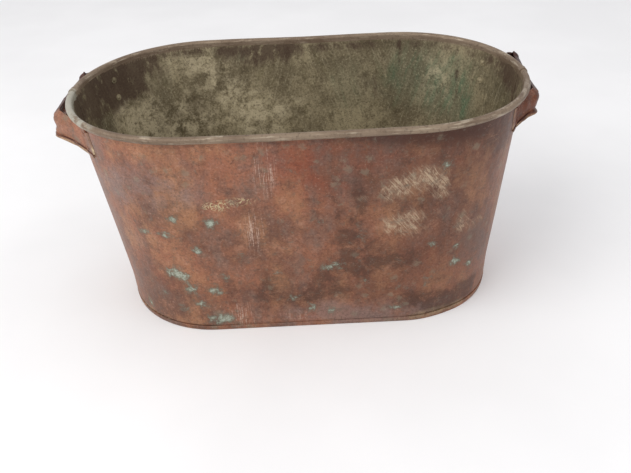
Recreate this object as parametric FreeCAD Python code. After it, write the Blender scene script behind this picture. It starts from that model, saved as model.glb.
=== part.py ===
import FreeCAD
import Part
import math
import os

# Oval copper wash boiler: two identical half sheets locked together at the ends,
# wired at the rim, double-seamed to a flat base, with a riveted strap handle at each end.
# Frame: origin on the floor under the middle of the base, +X along the length to the right,
# +Y towards the back, +Z up. Lengths in mm, angles in degrees.

# ---------------------------------------------------------------- driving dimensions
# Body
RIM_LENGTH = 610.0          # end to end over the wired edge
RIM_WIDTH = 344.0           # front to back over the wired edge
HEIGHT = 316.0              # floor to the top of the wired edge
BASE_WIDTH = 261.0          # front to back over the wall sheet, measured at the floor
WALL_SHEET = 0.9            # copper of the two half sheets
BASE_SHEET = 1.0            # copper of the base

# Folds and clearances
LAYER_GAP = 0.05            # between the folded layers of a seam
WIRE_GAP = 0.1              # between the rim wire and the copper curled round it
SEAT_GAP = 0.1              # between a curved sheet and what is riveted flat on it

# Wired rim
RIM_WIRE_DIAMETER = 7.0
RIM_CURL_DEG = 300.0        # how far the sheet wraps round the wire
RIM_LAP_DEG = 260.0         # how far the outer half sheet laps round the curl at a joint

# Double seam round the base
BASE_SEAM_HEIGHT = 7.0
BASE_SEAM_ROUND = 0.9       # outside corners of the folded base
BASE_PLATE_INSET = 8.0      # from the wall to where the base's plain middle begins

# Grooved seam at each end
END_SEAM_WIDTH = 8.0
END_SEAM_BASE_GAP = 1.5     # above the base seam
END_SEAM_RIM_GAP = 1.0      # under the curl

# Strap handles
STRAP_SHEET = 1.2
STRAP_HEIGHT = 36.0         # top edge to bottom edge at the grip
STRAP_TOP_DROP = 9.5        # top edge below the top of the rim
STRAP_RIM_CLEARANCE = 2.0   # between the rim and the top edge of the grip, seen from above
STRAP_BELLY = 8.0           # how far the upper bulge stands out beyond the top edge
STRAP_WAIST = 4.0           # the same for the hollow under the bulge
STRAP_LIP = 7.5             # the same for the flared bottom edge
STRAP_BELLY_AT = 0.42       # places of bulge and hollow down the strap, top 0, bottom 1
STRAP_WAIST_AT = 0.78
STRAP_HEM = 4.5             # depth of the folded edges
GRIP_LENGTH = 92.0          # straight part of the grip
GRIP_BEND_RADIUS = 9.0      # at the top edge's plan line, grip to leg
LEG_FLARE_AT = 0.65         # share of the leg over which it still has the grip's height
FOOT_ANGLE = 30.5           # where a leg meets the wall, from the end of the oval
FOOT_LENGTH = 20.0          # of the foot along the wall
FOOT_HEIGHT = 48.0
FOOT_RIM_GAP = 5.0          # foot's top edge under the curl

# Rivets, two in each foot
RIVET_SHANK = 3.6           # diameter
RIVET_HOLE_GAP = 0.1        # round the shank
RIVET_DRILL_REACH = 5.0     # of a drill past the wall's outer face, each way
RIVET_HEAD = 7.4            # diameter
RIVET_HEAD_HEIGHT = 1.4
RIVET_TAIL = 5.8            # diameter of the peened end
RIVET_TAIL_HEIGHT = 1.3
RIVET_SPACING = 26.0
RIVET_FROM_FOLD = 8.0       # along the foot
BURR_DIAMETER = 9.0         # washer under the peened end
BURR_THICKNESS = 0.8

# Solder runs
BASE_SOLDER_LEG = 4.0       # fillet between wall and base, inside
BASE_SOLDER_HOLLOW = 0.4    # how far its face sinks from straight, 0, to the corner, 1
SEAM_SOLDER_WIDTH = 6.0     # run over the end seam, inside
SEAM_SOLDER_DEPTH = 0.5
FOOT_SOLDER_WIDTH = 4.0     # wedge against the end of a foot
FOOT_SOLDER_TOE = 0.2       # its thickness where it runs out

# ---------------------------------------------------------------- derived places
END_X = (RIM_LENGTH - RIM_WIDTH) / 2            # axis of each half-round end
WIRE_R = RIM_WIRE_DIAMETER / 2
CURL_IN = WIRE_R + WIRE_GAP
CURL_OUT = CURL_IN + WALL_SHEET
RIM_U = RIM_WIDTH / 2 - CURL_OUT                # centre of the rim wire, out from the axis
RIM_Z = HEIGHT - CURL_OUT
UNDER_CURL_Z = RIM_Z - CURL_OUT
BASE_U = BASE_WIDTH / 2

# The wall's outer face leans out from BASE_U at the floor to a tangent on the inside of the curl.
FLOOR_TO_RIM = math.hypot(RIM_U - BASE_U, RIM_Z)
LEAN = math.atan2(RIM_U - BASE_U, RIM_Z) - math.asin(CURL_IN / FLOOR_TO_RIM)
RIM = (RIM_U, RIM_Z)
CURL_START = 180 - math.degrees(LEAN)           # where the wall runs into the curl

UP = FreeCAD.Vector(0, 0, 1)
ORIGIN = FreeCAD.Vector(0, 0, 0)


def wall_u(z, off=0.0):
    """Distance from the end axis at height z, off outside the wall's outer face."""
    return BASE_U + z * math.tan(LEAN) + off / math.cos(LEAN)


def layer(count):
    """Offset of the inner side of seam layer 1, 2 or 3 outside the wall's outer face."""
    return count * LAYER_GAP + (count - 1) * WALL_SHEET


# ---------------------------------------------------------------- section and sweep helpers
def vec(u, z):
    """A point of a section drawn in the front side's upright plane: u outward, z up."""
    return FreeCAD.Vector(0, -u, z)


def polyline(points):
    return [Part.makeLine(a, b) for a, b in zip(points, points[1:])]


def face(edges):
    return Part.Face(Part.Wire(edges))


def closed_face(points):
    return face(polyline(list(points) + [points[0]]))


def arc(centre, radius, start, end):
    """Edge round centre (u, z) from start to end degrees, counted from outward towards up."""
    def on(angle):
        a = math.radians(angle)
        return vec(centre[0] + radius * math.cos(a), centre[1] + radius * math.sin(a))
    return Part.Arc(on(start), on((start + end) / 2), on(end)).toShape()


def join(shapes):
    solid = shapes[0].fuse(shapes[1:]).removeSplitter()
    return solid.Solids[0] if len(solid.Solids) == 1 else solid


def front_run(section):
    """Section swept along the front's straight side."""
    placed = section.translated(FreeCAD.Vector(-END_X, 0, 0))
    return placed.extrude(FreeCAD.Vector(2 * END_X, 0, 0))


def end_turn(section, side, start, end):
    """Section turned round an end's axis, from start to end degrees past the front side.

    side is +1 for the right end and -1 for the left; 90 degrees is the end of the oval.
    """
    axis = FreeCAD.Vector(side * END_X, 0, 0)
    placed = section.translated(axis)
    placed.rotate(axis, UP, side * start)
    return placed.revolve(axis, UP, side * (end - start))


def full_ring(section):
    """Section swept all the way round the oval."""
    half = [front_run(section), end_turn(section, 1, 0, 90), end_turn(section, -1, 0, 90)]
    back = [turned_half(piece) for piece in half]
    return join(half + back)


def turned_half(shape):
    """The same shape on the other side and the other end of the boiler."""
    return shape.rotated(ORIGIN, UP, 180)


def wall_degrees(length):
    """Angle that a length along the wall takes at a half-round end, at mid height."""
    return math.degrees(length / wall_u(HEIGHT / 2))


# ---------------------------------------------------------------- half sheets
FLANGE_Z = BASE_SHEET + LAYER_GAP
RETURN_IN = LAYER_GAP                           # base's folded-in edge, next to the wall
RETURN_OUT = RETURN_IN + BASE_SHEET
FLANGE_IN = RETURN_OUT + LAYER_GAP              # wall sheet's turned-up flange
FLANGE_OUT = FLANGE_IN + WALL_SHEET
UPSTAND_IN = FLANGE_OUT + LAYER_GAP             # base's outer upstand
UPSTAND_OUT = UPSTAND_IN + BASE_SHEET
FLANGE_TOP = BASE_SEAM_HEIGHT - BASE_SHEET - LAYER_GAP


def wall_section():
    """Foot flange, leaning wall and rim curl of a half sheet."""
    def at(z, off):
        return vec(wall_u(z, off), z)
    curl_end = CURL_START - RIM_CURL_DEG
    inner_curl = arc(RIM, CURL_IN, CURL_START, curl_end)
    outer_curl = arc(RIM, CURL_OUT, curl_end, CURL_START)
    flange = [
        outer_curl.lastVertex(True).Point,
        at(FLANGE_Z, -WALL_SHEET),
        at(FLANGE_Z, FLANGE_OUT),
        at(FLANGE_TOP, FLANGE_OUT),
        at(FLANGE_TOP, FLANGE_IN),
        at(FLANGE_Z + WALL_SHEET, FLANGE_IN),
        at(FLANGE_Z + WALL_SHEET, 0),
        inner_curl.firstVertex(True).Point,
    ]
    curl_edge = Part.makeLine(inner_curl.lastVertex(True).Point, outer_curl.firstVertex(True).Point)
    return face(polyline(flange) + [inner_curl, curl_edge, outer_curl])


SEAM_FROM_Z = BASE_SEAM_HEIGHT + END_SEAM_BASE_GAP
SEAM_TO_Z = UNDER_CURL_Z - END_SEAM_RIM_GAP
SEAM_HALF = END_SEAM_WIDTH / 2


def seam_strip(side, off_in, off_out, start, end, low=SEAM_FROM_Z, high=SEAM_TO_Z):
    """Strip of sheet parallel to the wall; start and end are mm past the end of the oval."""
    corners = [(low, off_in), (low, off_out), (high, off_out), (high, off_in)]
    strip = closed_face([vec(wall_u(z, off), z) for z, off in corners])
    return end_turn(strip, side, 90 + wall_degrees(start), 90 + wall_degrees(end))


def inner_lock(side):
    """Edge that stays inside: folded outward and back over one layer."""
    fold = seam_strip(side, -WALL_SHEET, layer(3) - LAYER_GAP, SEAM_HALF - WALL_SHEET, SEAM_HALF)
    hook_end = -SEAM_HALF + WALL_SHEET + LAYER_GAP
    hook = seam_strip(side, layer(2), layer(3) - LAYER_GAP, hook_end, SEAM_HALF)
    return [fold, hook]


def outer_lock(side):
    """Edge that goes over the outside: stepped out, across and folded back in."""
    step_end = -SEAM_HALF - LAYER_GAP
    step_start = step_end - WALL_SHEET
    outside = layer(3) + WALL_SHEET
    step = seam_strip(side, -WALL_SHEET, outside, step_start, step_end)
    cover = seam_strip(side, layer(3), outside, step_start, SEAM_HALF)
    fold = seam_strip(side, layer(1), outside, SEAM_HALF - WALL_SHEET, SEAM_HALF)
    hook_end = -SEAM_HALF + WALL_SHEET + LAYER_GAP
    hook = seam_strip(side, layer(1), layer(1) + WALL_SHEET, hook_end, SEAM_HALF)
    return [step, cover, fold, hook]


def rim_lap(side):
    """The outer edge's curl carried on over the other half sheet's curl."""
    low = CURL_START - RIM_LAP_DEG
    start = 90 - wall_degrees(SEAM_HALF + LAYER_GAP + WALL_SHEET)

    def ring(inner, outer):
        out_arc = arc(RIM, outer, low, CURL_START)
        in_arc = arc(RIM, inner, CURL_START, low)
        sides = [
            Part.makeLine(out_arc.lastVertex(True).Point, in_arc.firstVertex(True).Point),
            Part.makeLine(in_arc.lastVertex(True).Point, out_arc.firstVertex(True).Point),
        ]
        return face([out_arc, sides[0], in_arc, sides[1]])

    outer = CURL_OUT + LAYER_GAP + WALL_SHEET
    step = end_turn(ring(CURL_OUT - WALL_SHEET, outer), side, start, start + wall_degrees(WALL_SHEET))
    cover = end_turn(ring(CURL_OUT + LAYER_GAP, outer), side, start, 90 + wall_degrees(SEAM_HALF))
    return [step, cover]


def half_sheet():
    """Front half sheet: inner lock at its right end, outer lock at its left end."""
    section = wall_section()
    inner_end = 90 + wall_degrees(SEAM_HALF)
    outer_end = 90 - wall_degrees(SEAM_HALF + LAYER_GAP)
    pieces = [
        front_run(section),
        end_turn(section, 1, 0, inner_end),
        end_turn(section, -1, 0, outer_end),
    ]
    return join(pieces + inner_lock(1) + outer_lock(-1) + rim_lap(-1))


# ---------------------------------------------------------------- base and rim wire
def base_pan():
    """Flat base with its edge folded up, in and down round the wall's flange."""
    def at(z, off):
        return (wall_u(z, off), z)
    plate_u = BASE_U - BASE_PLATE_INSET
    corners = [
        (plate_u, 0),
        at(0, UPSTAND_OUT),
        at(BASE_SEAM_HEIGHT, UPSTAND_OUT),
        at(BASE_SEAM_HEIGHT, RETURN_IN),
        at(FLANGE_Z + WALL_SHEET + LAYER_GAP, RETURN_IN),
        at(FLANGE_Z + WALL_SHEET + LAYER_GAP, RETURN_OUT),
        at(BASE_SEAM_HEIGHT - BASE_SHEET, RETURN_OUT),
        at(BASE_SEAM_HEIGHT - BASE_SHEET, UPSTAND_IN),
        at(BASE_SHEET, UPSTAND_IN),
        (plate_u, BASE_SHEET),
    ]
    rounded = {1: BASE_SEAM_ROUND, 2: BASE_SEAM_ROUND}
    ring = full_ring(rounded_face(corners, rounded))
    middle = Part.makeBox(2 * END_X, 2 * plate_u, BASE_SHEET, FreeCAD.Vector(-END_X, -plate_u, 0))
    ends = [Part.makeCylinder(plate_u, BASE_SHEET, FreeCAD.Vector(x, 0, 0)) for x in (-END_X, END_X)]
    return join([ring, middle] + ends)


def rounded_face(corners, radii):
    """Polygon of (u, z) corners with a round of the given radius at the listed ones."""
    points = []
    for index, corner in enumerate(corners):
        here = vec(*corner)
        radius = radii.get(index)
        if not radius:
            points.append((here,))
            continue
        before = (vec(*corners[index - 1]) - here).normalize()
        after = (vec(*corners[(index + 1) % len(corners)]) - here).normalize()
        half = before.getAngle(after) / 2
        reach = radius / math.tan(half)
        centre = here + (before + after).normalize() * (radius / math.sin(half))
        crown = centre + (here - centre).normalize() * radius
        points.append((here + before * reach, crown, here + after * reach))
    edges = []
    for index, spot in enumerate(points):
        if len(spot) == 3:
            edges.append(Part.Arc(*spot).toShape())
        following = points[(index + 1) % len(points)]
        edges.append(Part.makeLine(spot[-1], following[0]))
    return face(edges)


def rim_wire():
    """Iron wire hoop inside the rim curl."""
    circle = Part.makeCircle(WIRE_R, vec(RIM_U, RIM_Z), FreeCAD.Vector(1, 0, 0))
    return full_ring(face([circle]))


# ---------------------------------------------------------------- strap handles
STRAP_TOP_Z = HEIGHT - STRAP_TOP_DROP
GRIP_X = RIM_LENGTH / 2 + LAYER_GAP + WALL_SHEET + STRAP_RIM_CLEARANCE + STRAP_SHEET
FOOT_TOP_Z = UNDER_CURL_Z - FOOT_RIM_GAP
FOOT_MID_Z = FOOT_TOP_Z - FOOT_HEIGHT / 2
FOOT_OFF = SEAT_GAP + STRAP_SHEET               # foot's outer face beyond the wall's
FOOT_U = wall_u(FOOT_MID_Z, FOOT_OFF)


def strap_section(spots, out):
    """Upright cut through the strap: spots are its outer face, top to bottom, out points outward.

    Both edges are folded outward into hems.
    """
    curve = Part.BSplineCurve()
    curve.interpolate(spots)
    first, last = curve.FirstParameter, curve.LastParameter
    hem = (last - first) * STRAP_HEM / (spots[0].z - spots[-1].z)
    fold = STRAP_SHEET + LAYER_GAP

    def run(start, end, off):
        return Part.Edge(curve, start, end).translated(out * off)

    def place(param, off):
        return curve.value(param) + out * off

    def edge_round(param, up):
        inner, outer = place(param, -STRAP_SHEET), place(param, fold)
        crown = (inner + outer) / 2 + UP * up
        return Part.Arc(inner, crown, outer).toShape()

    round_height = (fold + STRAP_SHEET) / 2
    edges = [
        edge_round(first, round_height),
        run(first, first + hem, fold),
        Part.makeLine(place(first + hem, fold), place(first + hem, 0)),
        run(first + hem, last - hem, 0),
        Part.makeLine(place(last - hem, 0), place(last - hem, fold)),
        run(last - hem, last, fold),
        edge_round(last, -round_height),
        run(first, last, -STRAP_SHEET),
    ]
    return Part.Wire(Part.sortEdges(edges)[0])


STRAP_SHARES = [0.0, STRAP_BELLY_AT, STRAP_WAIST_AT, 1.0]


def grip_spots():
    """Outer face of the grip: top edge, belly, waist and lip."""
    rises = [0.0, STRAP_BELLY, STRAP_WAIST, STRAP_LIP]
    return [
        FreeCAD.Vector(GRIP_X + rise, GRIP_LENGTH / 2, STRAP_TOP_Z - share * STRAP_HEIGHT)
        for share, rise in zip(STRAP_SHARES, rises)
    ]


def foot_spots():
    """Outer face of the foot, lying on the wall."""
    heights = [FOOT_TOP_Z - share * FOOT_HEIGHT for share in STRAP_SHARES]
    return [FreeCAD.Vector(END_X + wall_u(z, FOOT_OFF), 0, z) for z in heights]


def spin(points, axis, degrees):
    turn = FreeCAD.Rotation(UP, degrees)
    return [axis + turn.multVec(point - axis) for point in points]


def flare(start, end, share):
    """Point between two stations of a leg. It drops to the foot's level late, near the wall."""
    point = start + (end - start) * share
    point.z = start.z + (end.z - start.z) * share ** 2
    return point


def half_strap():
    """Back half of the right handle: half the grip, bend, leg and riveted foot."""
    out = FreeCAD.Vector(1, 0, 0)
    end_axis = FreeCAD.Vector(END_X, 0, 0)
    bend_axis = FreeCAD.Vector(GRIP_X - GRIP_BEND_RADIUS, GRIP_LENGTH / 2, 0)
    fold = spin([FreeCAD.Vector(END_X + FOOT_U, 0, 0)], end_axis, FOOT_ANGLE)[0]
    to_fold = fold - bend_axis
    heading = math.degrees(math.atan2(to_fold.y, to_fold.x))
    turn = heading - math.degrees(math.acos(GRIP_BEND_RADIUS / to_fold.Length))

    grip = Part.Face(strap_section(grip_spots(), out))
    straight = grip.extrude(FreeCAD.Vector(0, -GRIP_LENGTH / 2, 0))
    bend = grip.revolve(bend_axis, UP, turn)

    starts = spin(grip_spots(), bend_axis, turn)
    ends = spin(foot_spots(), end_axis, FOOT_ANGLE)
    start_out, end_out = spin([out], ORIGIN, turn)[0], spin([out], ORIGIN, FOOT_ANGLE)[0]
    middles = [flare(a, b, LEG_FLARE_AT) for a, b in zip(starts, ends)]
    middle_out = (start_out * (1 - LEG_FLARE_AT) + end_out * LEG_FLARE_AT).normalize()
    stations = [(starts, start_out), (middles, middle_out), (ends, end_out)]
    leg = Part.makeLoft([strap_section(*station) for station in stations], True, True)

    foot = Part.Face(strap_section(ends, end_out))
    pad = foot.revolve(end_axis, UP, math.degrees(FOOT_LENGTH / FOOT_U))
    return [straight, bend, leg, pad]


def handle_strap():
    """Right handle's strap, drilled for its rivets."""
    back = half_strap()
    front = [piece.mirror(ORIGIN, FreeCAD.Vector(0, 1, 0)) for piece in back]
    strap = join(back + front)
    return strap.cut([rivet_hole(place) for side in (1, -1) for place in foot_rivets(side)])


# ---------------------------------------------------------------- rivets, burrs and solder
FOOT_END_DEG = FOOT_ANGLE + math.degrees(FOOT_LENGTH / FOOT_U)
RIVET_DEG = FOOT_ANGLE + math.degrees(RIVET_FROM_FOLD / FOOT_U)


def foot_rivets(side):
    """Placements of the rivets in the right handle's back (+1) or front (-1) foot.

    Local +Z points out of the wall and the origin lies on its outer face.
    """
    places = []
    for step in (-1, 1):
        z = FOOT_MID_Z + step * RIVET_SPACING / 2
        tilt = FreeCAD.Rotation(FreeCAD.Vector(0, 1, 0), 90 + math.degrees(LEAN))
        turn = FreeCAD.Rotation(UP, side * RIVET_DEG)
        angle = math.radians(side * RIVET_DEG)
        spot = FreeCAD.Vector(END_X + wall_u(z) * math.cos(angle), wall_u(z) * math.sin(angle), z)
        places.append(FreeCAD.Placement(spot, turn.multiply(tilt)))
    return places


def placed(shape, placement):
    copy = shape.copy()
    copy.Placement = placement
    return copy


def rivet_hole(placement):
    radius = RIVET_SHANK / 2 + RIVET_HOLE_GAP
    low = FreeCAD.Vector(0, 0, -RIVET_DRILL_REACH)
    drill = Part.makeCylinder(radius, 2 * RIVET_DRILL_REACH, low)
    return placed(drill, placement)


def turned_solid(edges):
    """Solid of revolution about local Z of a section in the local XZ plane."""
    return face(edges).revolve(ORIGIN, UP, 360)


def rivet():
    """Domed head outside, shank through foot and wall, peened end inside."""
    shank, head, tail = RIVET_SHANK / 2, RIVET_HEAD / 2, RIVET_TAIL / 2
    head_z = SEAT_GAP + STRAP_SHEET + SEAT_GAP
    tail_z = -WALL_SHEET - SEAT_GAP - BURR_THICKNESS - LAYER_GAP

    def at(r, z):
        return FreeCAD.Vector(r, 0, z)

    def dome(radius, base_z, height):
        ball = (radius ** 2 + height ** 2) / (2 * height)
        half = math.asin(radius / abs(ball)) / 2
        crown = at(abs(ball) * math.sin(half), base_z + height - ball * (1 - math.cos(half)))
        return [at(radius, base_z), crown, at(0, base_z + height)]

    head_arc = dome(head, head_z, RIVET_HEAD_HEIGHT)
    tail_arc = dome(tail, tail_z, -RIVET_TAIL_HEIGHT)
    edges = [Part.Arc(*head_arc).toShape(), Part.Arc(*tail_arc).toShape()]
    edges += polyline([tail_arc[0], at(shank, tail_z), at(shank, head_z), head_arc[0]])
    edges += polyline([head_arc[2], tail_arc[2]])
    return turned_solid(Part.sortEdges(edges)[0])


def burr():
    """Flat copper washer between the wall and a rivet's peened end."""
    inner = RIVET_SHANK / 2 + RIVET_HOLE_GAP
    outer = BURR_DIAMETER / 2
    top = -WALL_SHEET - SEAT_GAP
    low = top - BURR_THICKNESS
    corners = [(inner, low), (outer, low), (outer, top), (inner, top)]
    points = [FreeCAD.Vector(r, 0, z) for r, z in corners]
    return turned_solid(polyline(points + [points[0]]))


def base_solder():
    """Fillet run round the inside corner of wall and base."""
    low = BASE_SHEET + LAYER_GAP
    off = -WALL_SHEET - LAYER_GAP
    corner = vec(wall_u(low, off), low)
    toe = vec(wall_u(low, off) - BASE_SOLDER_LEG, low)
    crest_z = low + BASE_SOLDER_LEG
    crest = vec(wall_u(crest_z, off), crest_z)
    middle = (toe + crest) / 2
    hollow = middle + (corner - middle) * BASE_SOLDER_HOLLOW
    edges = polyline([crest, corner, toe]) + [Part.Arc(toe, hollow, crest).toShape()]
    return full_ring(face(edges))


def seam_solder(side):
    """Flat run over the end seam's inside joint, from the base fillet to the rim."""
    outer = -WALL_SHEET - LAYER_GAP
    half = SEAM_SOLDER_WIDTH / 2
    low = BASE_SHEET + LAYER_GAP + BASE_SOLDER_LEG + END_SEAM_BASE_GAP
    centre = SEAM_HALF
    return seam_strip(side, outer - SEAM_SOLDER_DEPTH, outer, centre - half, centre + half, low)


def foot_solder(side):
    """Wedge of solder against the end of the right handle's back (+1) or front (-1) foot."""
    end_axis = FreeCAD.Vector(END_X, 0, 0)
    gap = wall_degrees(LAYER_GAP)

    def cut_at(angle, thickness):
        corners = []
        for z in (FOOT_TOP_Z - STRAP_HEM, FOOT_TOP_Z - FOOT_HEIGHT + STRAP_HEM):
            pair = [SEAT_GAP, SEAT_GAP + thickness]
            corners.append([FreeCAD.Vector(END_X + wall_u(z, off), 0, z) for off in pair])
        loop = corners[0] + corners[1][::-1]
        wire = Part.Wire(polyline(loop + [loop[0]]))
        return wire.rotated(end_axis, UP, side * angle)

    start = FOOT_END_DEG + gap
    heel = cut_at(start, STRAP_SHEET)
    toe = cut_at(start + wall_degrees(FOOT_SOLDER_WIDTH), FOOT_SOLDER_TOE)
    return Part.makeLoft([heel, toe], True, True)


# ---------------------------------------------------------------- assembly
def build():
    """All sub-parts by name. The left end is the right end turned round."""
    plain_half = half_sheet()
    back_holes = [rivet_hole(place) for place in foot_rivets(1)]
    front_holes = [rivet_hole(place) for place in foot_rivets(-1)]
    drilled_half = plain_half.cut(front_holes + [turned_half(hole) for hole in back_holes])
    strap = handle_strap()
    parts = {
        "front_wall_sheet": drilled_half,
        "back_wall_sheet": turned_half(drilled_half),
        "base_pan": base_pan(),
        "rim_wire": rim_wire(),
        "base_seam_solder": base_solder(),
        "right_seam_solder": seam_solder(1),
        "left_seam_solder": turned_half(seam_solder(1)),
        "right_handle_strap": strap,
        "left_handle_strap": turned_half(strap),
    }
    for foot, side in (("back", 1), ("front", -1)):
        other = "front" if foot == "back" else "back"
        groups = {
            "rivets": [placed(rivet(), place) for place in foot_rivets(side)],
            "burrs": [placed(burr(), place) for place in foot_rivets(side)],
            "solder": [foot_solder(side)],
        }
        for kind, shapes in groups.items():
            group = Part.makeCompound(shapes)
            parts["right_handle_%s_%s" % (foot, kind)] = group
            parts["left_handle_%s_%s" % (other, kind)] = turned_half(group)
    return parts


os.makedirs("parts", exist_ok=True)
for name, shape in build().items():
    shape.exportStep("parts/%s.step" % name)
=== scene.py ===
import math

import bmesh
import bpy
import numpy as np
from mathutils import Matrix, Vector


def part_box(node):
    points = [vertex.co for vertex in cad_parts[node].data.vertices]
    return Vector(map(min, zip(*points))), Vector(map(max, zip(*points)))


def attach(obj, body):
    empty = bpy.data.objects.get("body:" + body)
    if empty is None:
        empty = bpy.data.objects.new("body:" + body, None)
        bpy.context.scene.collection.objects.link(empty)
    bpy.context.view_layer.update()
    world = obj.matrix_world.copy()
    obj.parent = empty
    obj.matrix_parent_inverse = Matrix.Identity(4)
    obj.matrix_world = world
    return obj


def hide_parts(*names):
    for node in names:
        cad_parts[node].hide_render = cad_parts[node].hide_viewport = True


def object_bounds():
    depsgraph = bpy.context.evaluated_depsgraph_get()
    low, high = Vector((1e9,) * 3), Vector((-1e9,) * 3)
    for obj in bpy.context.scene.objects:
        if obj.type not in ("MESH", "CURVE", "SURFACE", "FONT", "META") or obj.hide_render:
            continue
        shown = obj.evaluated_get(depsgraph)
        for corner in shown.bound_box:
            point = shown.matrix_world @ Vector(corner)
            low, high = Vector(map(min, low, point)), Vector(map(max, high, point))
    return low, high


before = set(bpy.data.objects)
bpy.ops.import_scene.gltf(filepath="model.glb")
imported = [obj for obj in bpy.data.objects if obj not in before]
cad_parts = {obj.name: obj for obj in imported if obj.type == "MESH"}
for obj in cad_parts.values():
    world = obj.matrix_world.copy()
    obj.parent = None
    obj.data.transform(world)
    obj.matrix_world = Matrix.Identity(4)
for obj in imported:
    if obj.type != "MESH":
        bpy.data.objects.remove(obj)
CAD_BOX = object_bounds()

# Old oval copper wash boiler. Metres; wall places are given as (along, height), where along runs
# round the wall from the middle of one long side, to the right positive.

# ---------------------------------------------------------------- sizes from the frame
WIRE_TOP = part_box("rim_wire")[1]
SEAM_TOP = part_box("base_pan")[1].z
END_X = WIRE_TOP.x - WIRE_TOP.y                     # axis of each half-round end
RIM_TOP = CAD_BOX[1].z
RIM_METAL_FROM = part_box("rim_wire")[0].z - 0.002    # the wired edge, and a little below it
GRIP_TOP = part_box("left_handle_strap")[1].z
WALL_FOOT = 0.1305          # the wall's half width at the floor
WALL_LEAN = math.tan(math.radians(6.116))
TINY = 1e-6                 # corners nearer than this are joined; no length is divided by less

# ---------------------------------------------------------------- how use has bent the tub
BASE_SLIP = 0.003           # base sits further right than the rim
RIM_WAVE_IN = 0.0013        # the rim waves inward by up to this
RIM_WAVE_DOWN = 0.0010
SHORT_WAVES, SHORT_START = 5, 1.1                   # how many go round the rim, and their start
LONG_WAVES, LONG_START = 3, 0.4
DOWN_WAVES, DOWN_START = 4, 2.0
WAVES_FROM = 0.3 * RIM_TOP  # height from which the wall follows the rim
LEFT_BULGE = 0.0025         # left end pushed out at the front
BULGE_TURN = math.radians(-160)
BULGE_WIDTH = 0.35          # in radians, like the turn
FOOT_SWELL = 0.0022         # the wall worn nearly flush with its folded base seam
FOOT_SWELL_TOP = 0.052
SWELL_STARTS, SWELL_FULL = -0.0012, 0.0002          # from the seam's top
DENTS = (                   # along, height, half width, half height, depth; all on the front
    (0.185, 0.012, 0.034, 0.016, 0.0030),
    (-0.180, 0.150, 0.060, 0.050, 0.0012),
    (0.110, 0.210, 0.070, 0.050, 0.0012),
    (0.010, 0.110, 0.080, 0.060, 0.0010),
)

# ---------------------------------------------------------------- how use has bent the straps
HEM_FROM_X, GRIP_FROM_X = 0.266, 0.285              # how far out hem and grip begin to bend
FULL_X = 0.306                                      # and where both bend in full
CORNER_Y = 0.047                                    # where grip and legs meet
GRIP_BACK = {"left": 0.016, "right": 0.019}         # the back corner's shift backwards
GRIP_IN = {"left": 0.0, "right": 0.004}
GRIP_TOP_IN = {"left": 0.0015, "right": 0.003}
WAIST_OUT = {"left": 0.0042, "right": 0.0}          # the left strap's waist is beaten flat
WAIST_Z, WAIST_HALF = 0.278, 0.007
BACK_TOP_IN = {"left": 0.0075, "right": -0.003}     # the top edge leans in, or out, at the back
BACK_LEAN_FROM = -0.010                             # y
TOP_LEAN_Z = (0.284, 0.306)
BACK_RISE = 0.0035                                  # rise of a grip's top edge toward the back
BACK_RISE_FROM = -0.030                             # y
TOP_RISE_Z = (0.288, 0.305)
HEM_UP = {"left": 0.004, "right": 0.005}            # rise of a grip's lower hem
HEM_IN = {"left": 0.0, "right": 0.003}
HEM_Z = (0.268, 0.288)
FOOT_END, LEG_START = 0.277, 0.360                  # of a front foot, along the wall, as made
FOOT_LOW, FOOT_HIGH = 0.252, 0.292
FOOT_LIFT = {"left": 0.008, "right": 0.006}         # rise of a front foot's lower edge
FOOT_TURN = {"left": 0.0, "right": 0.017}           # how much nearer the grip it ends
FOOT_LOW_TURN = {"left": 0.0, "right": 0.010}       # and its lower edge more than that
DRAWN_FROM = 0.160                                  # the wall gives way with them from here along
DRAWN_LOW, DRAWN_HIGH = 0.170, 0.248                # and over these heights
SPIKE_HEIGHT = 0.004                                # torn corner of a strap's top hem
SPIKE_WIDTH = 0.0038
SPIKE_ROOT, SPIKE_FULL = 0.012, 0.001               # below the grip's top
TEAR_DEPTH = 0.004                                  # torn front corner of the left bottom hem
TEAR_WIDTH = 0.005
TEAR_Z = (0.2705, 0.2765)
TEAR_TEETH = 2600                                   # waves of its ragged edge, radians a metre

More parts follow.
